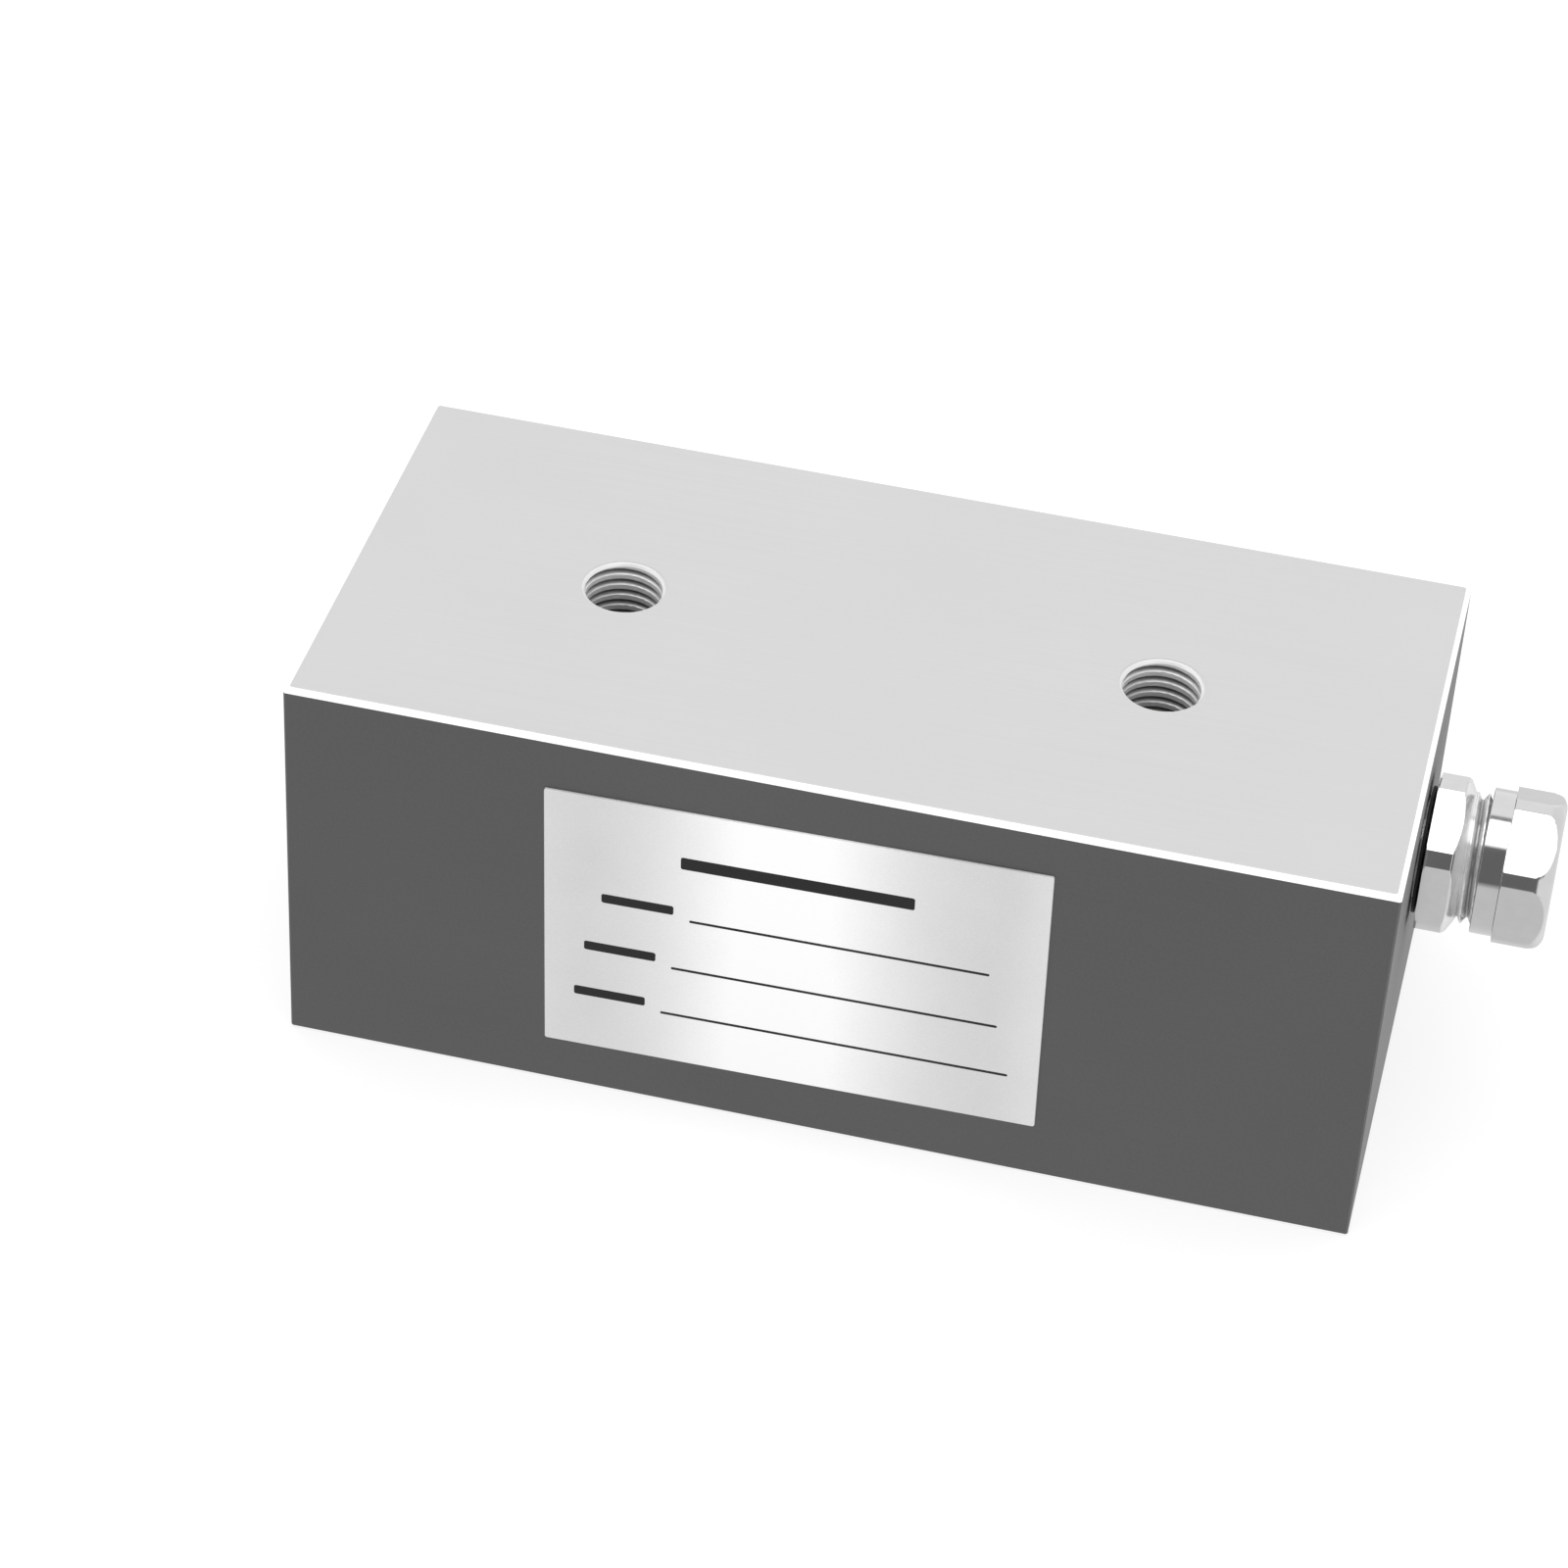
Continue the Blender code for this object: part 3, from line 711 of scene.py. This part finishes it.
def tapped_hole(name, side, material):
    """A tapped M12 hole's mouth, thread turns and drilled end, as a thin cup with a flush lip."""
    thread_end = METRIC_12_PITCH - HOLE_DEPTH
    angles = even_angles(HOLE_ANGLES)
    cone = 1 / math.tan(DRILL_POINT_ANGLE / 2)
    full_depth = HOLE_RADIUS - TAPPING_RADIUS
    half_root = METRIC_12_PITCH / 16
    half_crest = METRIC_12_PITCH / 2 - half_root - full_depth / FLANK

    def thread_radius(height, angle):
        down_flank = max(off_crest(height, angle, METRIC_12_PITCH) - half_crest, 0.0)
        depth = min(down_flank * FLANK, full_depth)
        depth *= min(1.0, (height - thread_end) / METRIC_12_PITCH)
        countersink = MOUTH_RADIUS + height
        widest = MOUTH_RADIUS - height * MOUTH_TAPER
        return min(max(TAPPING_RADIUS + depth, countersink), widest)

    outer = HOLE_RADIUS + LINING_SKIN
    end = -HOLE_DEPTH - CLEARANCE
    rings = [
        [(-HOLE_DEPTH - outer * cone, 0.0)], [(-HOLE_DEPTH, outer)],
        [(-LINING_DROP, outer)], [(-LINING_DROP, MOUTH_RADIUS)],
    ]
    row_count = round(-thread_end / THREAD_ROW)
    for height in np.linspace(-2 * LINING_DROP, thread_end, row_count).tolist():
        rings.append([(height, thread_radius(height, angle)) for angle in angles])
    rings += [[(end, TAPPING_RADIUS)], [(end - TAPPING_RADIUS * cone, 0.0)]]

    bm = bmesh.new()
    made = []
    for ring in rings:
        if len(ring) == 1:
            ring = ring * len(angles)
        made.append([
            bm.verts.new((radius * math.cos(angle), radius * math.sin(angle), height))
            for angle, (height, radius) in zip(angles, ring)
        ])
    hole = close_rings(name, bm, made, material)
    hole.location = (side * HOLE_SPACING / 2, 0.0, BODY_HEIGHT)
    return hole


# Plate and its print

def stand_on_front(piece):
    """Stand a piece made flat in its own XY plane against the front face, a little askew."""
    piece.location = (PLATE_SHIFT, -BODY_WIDTH / 2, PLATE_CENTRE_HEIGHT)
    piece.rotation_euler = (math.pi / 2, -PLATE_TILT, 0.0)
    return piece


def rounded_bar(centre, length, height, radius, steps):
    """Outline of an upright rectangle with round corners, anticlockwise."""
    outline = []
    for quarter in range(4):
        side_x = 1 if quarter in (0, 3) else -1
        side_y = 1 if quarter in (0, 1) else -1
        x = centre[0] + side_x * (length / 2 - radius)
        y = centre[1] + side_y * (height / 2 - radius)
        for step in range(steps + 1):
            angle = (quarter + step / steps) * math.pi / 2
            outline.append((x + radius * math.cos(angle), y + radius * math.sin(angle)))
    return outline


def add_slab(bm, outlines, lifts):
    """Stack outlines of equal count at rising heights into one closed slab."""
    rings = [
        [bm.verts.new((x, y, lift)) for x, y in outline]
        for outline, lift in zip(outlines, lifts)
    ]
    bm.faces.new(rings[0][::-1])
    bm.faces.new(rings[-1])
    for ring, following in zip(rings, rings[1:]):
        bridge(bm, ring, following)


def seated_plate(material):
    """The plate stuck flat to the face, its stamped edge eased."""
    inset = PLATE_EASE * 0.3
    outlines = []
    for cut in (0.0, 0.0, inset, PLATE_EASE):
        length = PLATE_LENGTH - 2 * cut
        height = PLATE_HEIGHT - 2 * cut
        outlines.append(rounded_bar(
            (0.0, 0.0), length, height, PLATE_CORNER_RADIUS, PLATE_CORNER_STEPS
        ))
    lifts = (PLATE_GAP, PLATE_THICKNESS - PLATE_EASE, PLATE_THICKNESS - inset, PLATE_THICKNESS)
    bm = bmesh.new()
    add_slab(bm, outlines, lifts)
    return stand_on_front(finish_piece("nameplate_seated", bm, material, SHARP_PLATE_EDGE))


def plate_print(material):
    """Plain bars and ruled lines, where a plate carries its print."""
    bars = [(TITLE_CENTRE, *TITLE_SIZE)]
    for level, start, end in PRINT_ROWS:
        bars.append(((start + LABEL_SIZE[0] / 2, level - LABEL_DROP), *LABEL_SIZE))
        rule_start = start + LABEL_SIZE[0] + LABEL_GAP
        rule_centre = ((rule_start + end) / 2, level - RULE_DROP)
        bars.append((rule_centre, end - rule_start, RULE_HEIGHT))
    lifts = (PLATE_THICKNESS - PRINT_SUNK, PLATE_THICKNESS + PRINT_PROUD)
    bm = bmesh.new()
    for (x, y), length, height in bars:
        radius = min(PRINT_CORNER_RADIUS, height * PRINT_CORNER_SHARE)
        outline = rounded_bar(
            (x * MM, y * MM), length * MM, height * MM, radius * MM, PRINT_CORNER_STEPS
        )
        add_slab(bm, (outline, outline), lifts)
    return stand_on_front(finish_piece("plate_print", bm, material))


# Magnet

def dress(node, material):
    """Give a node of the frame its material."""
    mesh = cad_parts[node].data
    mesh.materials.clear()
    mesh.materials.append(material)


def place(piece, slot, *nodes):
    """Fix a piece to the magnet and hide the nodes it stands for. The slot argument is not used.
    """
    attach(piece, "root")
    if nodes:
        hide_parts(*nodes)


def dress_frame():
    """Give every node that stays visible its finish."""
    dress("housing", steel_block())
    dress("potting_resin", mottled("cast_resin", (0.017, 0.017, 0.019), 0.3, 0.00001, grain=1500))
    dress("bobbin", mottled("glass_filled_plastic", (0.5, 0.47, 0.4), 0.5, 0.000006))
    dress("coil_winding", wound_wire())
    dress("coil_tape", banded("wound_tape", (0.6, 0.5, 0.2), 0.45, 0.006, 0.00008, 2))
    copper = mottled("enamelled_lead", (0.55, 0.2, 0.08), 0.26, 0.000003, metallic=0.9)
    sleeving = banded("braided_sleeving", (0.6, 0.57, 0.48), 0.7, 0.0005, 0.00005, 0)
    tinned = mottled("tinned_crimp", (0.6, 0.6, 0.59), 0.3, 0.000004, metallic=1.0)
    for word in ("start", "finish"):
        dress("coil_lead_" + word, copper)
        dress("lead_sleeve_" + word, sleeving)
        dress("lead_ferrule_" + word, tinned)
    dress("gland_claw", mottled("claw_plastic", (0.045, 0.045, 0.047), 0.45, 0.000005))


def add_finer_pieces():
    """Put finer pieces in place of some nodes, and add the holes' threads and the print."""
    chamfer = (HEAD_CORNER_RADIUS - HEAD_FLATS_RADIUS) * math.tan(HEAD_CHAMFER_ANGLE)
    thread = (BODY_LENGTH / 2 + HEAD_END - 2 * chamfer, BODY_LENGTH / 2 + BODY_END)
    plated_body = nickel("nickel_body", thread)
    plated_nut = nickel("nickel_nut")
    rubber = mottled("washer_rubber", (0.022, 0.022, 0.022), 0.6, 0.000008)
    seal = mottled("sleeve_rubber", (0.02, 0.02, 0.02), 0.55, 0.000008)
    cut = cut_thread()
    ink = mottled("plate_ink", (0.008, 0.008, 0.0085), 0.7, 0.000002)

    place(seated_plate(satin_plate()), "satin_aluminium", "nameplate")
    place(gland_body(plated_body), "nickel_plated_brass", "gland_body")
    place(cap_nut(plated_nut), "nickel_plated_nut", "gland_cap_nut")
    place(washer_ring(rubber), "black_rubber", "gland_washer")
    place(seal_sleeve(seal), "seal_rubber", "gland_seal")
    place(tapped_hole("mounting_thread_left", -1, cut), "machined_steel")
    place(tapped_hole("mounting_thread_right", 1, cut), "machined_steel")
    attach(plate_print(ink), "root")


# Studio

# Brightness in reflections by the angle about X: 0 is level at the front and 90 straight up
STUDIO_PEAK = 2.4
STUDIO_RING = (
    (-180, 1.05), (-168, 0.80), (-110, 0.80), (-80, 0.74), (-4, 0.74), (3, 0.17), (60, 0.17),
    (66, STUDIO_PEAK), (106, STUDIO_PEAK), (108, 0.3), (113, 0.3), (117, 1.05), (180, 1.05),
)

# The room's pale end walls take over where a reflection's X is far enough from a middle value
WALL_LEVEL = 0.95
WALL_MIDDLE = -0.155
WALL_START = 0.38
WALL_RISE = 5.0

# Light on everything that doesn't mirror, and the floor that catches the shadow
DIFFUSE_LEVEL = 0.97
FLOOR_SIZE = 4.0
FLOOR_DROP = 0.0002
FLOOR_GREY = (0.34, 0.34, 0.34)
FLOOR_GLOW = 0.70

# Camera, from a fit to the block's edges in the photograph, in millimetres, metres and degrees
CAMERA_LENS = 111.713
CAMERA_SENSOR = 36.0
CAMERA_PLACE = (0.09231, -0.51885, 0.45908)
CAMERA_TURN = (50.9959, -2.5871, 13.6309)


def studio_world():
    """White to the camera. Reflections see a pale room, a bright ceiling and a dim camera side."""
    world = bpy.data.worlds.new("studio")
    bpy.context.scene.world = world
    world.use_nodes = True
    world.cycles.sampling_method = "NONE"
    w = Graph(world.node_tree)
    w.nodes.clear()

    x, y, z = w.split(w.add("ShaderNodeTexCoord").outputs["Generated"])
    turn = w.maths("ARCTAN2", z, w.times(y, -1.0))
    ramp = w.add("ShaderNodeValToRGB", w.plus(w.maths("DIVIDE", turn, FULL_TURN), 0.5))
    elements = ramp.color_ramp.elements
    while len(elements) > 1:
        elements.remove(elements[-1])
    for index, (degrees, level) in enumerate(STUDIO_RING):
        element = elements[0] if index == 0 else elements.new(degrees / 360 + 0.5)
        element.position = degrees / 360 + 0.5
        element.color = (*([level / STUDIO_PEAK] * 3), 1.0)
    ring = w.times(ramp.outputs[0], STUDIO_PEAK)

    sideways = w.maths("ABSOLUTE", w.minus(x, WALL_MIDDLE))
    wall = w.times(w.minus(sideways, WALL_START), WALL_RISE, clamp=True)
    studio = w.plus(w.times(ring, w.minus(1.0, wall)), w.times(wall, WALL_LEVEL))

    path = w.add("ShaderNodeLightPath").outputs
    seen = w.plus(path["Is Camera Ray"], path["Is Transmission Ray"], clamp=True)
    glossy = path["Is Glossy Ray"]
    rest = w.minus(w.minus(1.0, seen), glossy, clamp=True)
    strength = w.plus(seen, w.plus(w.times(glossy, studio), w.times(rest, DIFFUSE_LEVEL)))
    background = w.add("ShaderNodeBackground", WHITE, strength)
    w.add("ShaderNodeOutputWorld", background.outputs[0])


def softbox(name, place_at, aim, size, power):
    """A square soft lamp aimed at a point. It isn't itself seen in the plating."""
    lamp = bpy.data.lights.new(name, "AREA")
    lamp.shape = "SQUARE"
    lamp.size = size
    lamp.energy = power
    thing = show(name, lamp)
    thing.location = place_at
    thing.rotation_euler = (Vector(aim) - Vector(place_at)).to_track_quat("-Z", "Y").to_euler()
    thing.visible_glossy = False


def floor_material():
    """Matt and faintly glowing to the camera from above, and clear from below."""
    material = bpy.data.materials.new("floor")
    material.use_nodes = True
    f = Graph(material.node_tree)
    f.nodes.clear()
    seen = f.add("ShaderNodeLightPath").outputs["Is Camera Ray"]
    diffuse = f.add("ShaderNodeBsdfDiffuse", FLOOR_GREY)
    glow = f.add("ShaderNodeEmission", None, f.times(seen, FLOOR_GLOW))
    lit = f.add("ShaderNodeAddShader", diffuse.outputs[0], glow.outputs[0])
    clear = f.add("ShaderNodeBsdfTransparent")
    from_below = f.add("ShaderNodeNewGeometry").outputs["Backfacing"]
    choice = f.add("ShaderNodeMixShader", from_below, lit.outputs[0], clear.outputs[0])
    f.add("ShaderNodeOutputMaterial", choice.outputs[0])
    return material


def floor():
    """Pale floor that shows a faint shadow to the camera and vanishes when seen from below."""
    bm = bmesh.new()
    bmesh.ops.create_grid(bm, x_segments=1, y_segments=1, size=FLOOR_SIZE)
    mesh = bpy.data.meshes.new("floor")
    bm.to_mesh(mesh)
    bm.free()
    mesh.materials.append(floor_material())
    thing = show("floor", mesh)
    thing.location = (0.0, 0.0, -FLOOR_DROP)
    thing.visible_diffuse = False
    thing.visible_glossy = False
    thing.visible_transmission = False
    thing.visible_shadow = False


def camera():
    """The photograph's view, from in front, above and a little to the gland's side."""
    lens = bpy.data.cameras.new("camera")
    lens.lens = CAMERA_LENS
    lens.sensor_width = CAMERA_SENSOR
    lens.clip_start = 0.01
    lens.clip_end = 50.0
    thing = show("camera", lens)
    thing.location = CAMERA_PLACE
    thing.rotation_euler = tuple(math.radians(angle) for angle in CAMERA_TURN)
    bpy.context.scene.camera = thing


dress_frame()
add_finer_pieces()
studio_world()
floor()
softbox("ceiling_lamp", place_at=(0.1, -0.15, 1.3), aim=(0.0, 0.0, 0.03), size=1.4, power=6.5)
camera()
bpy.context.scene.view_settings.view_transform = "Standard"
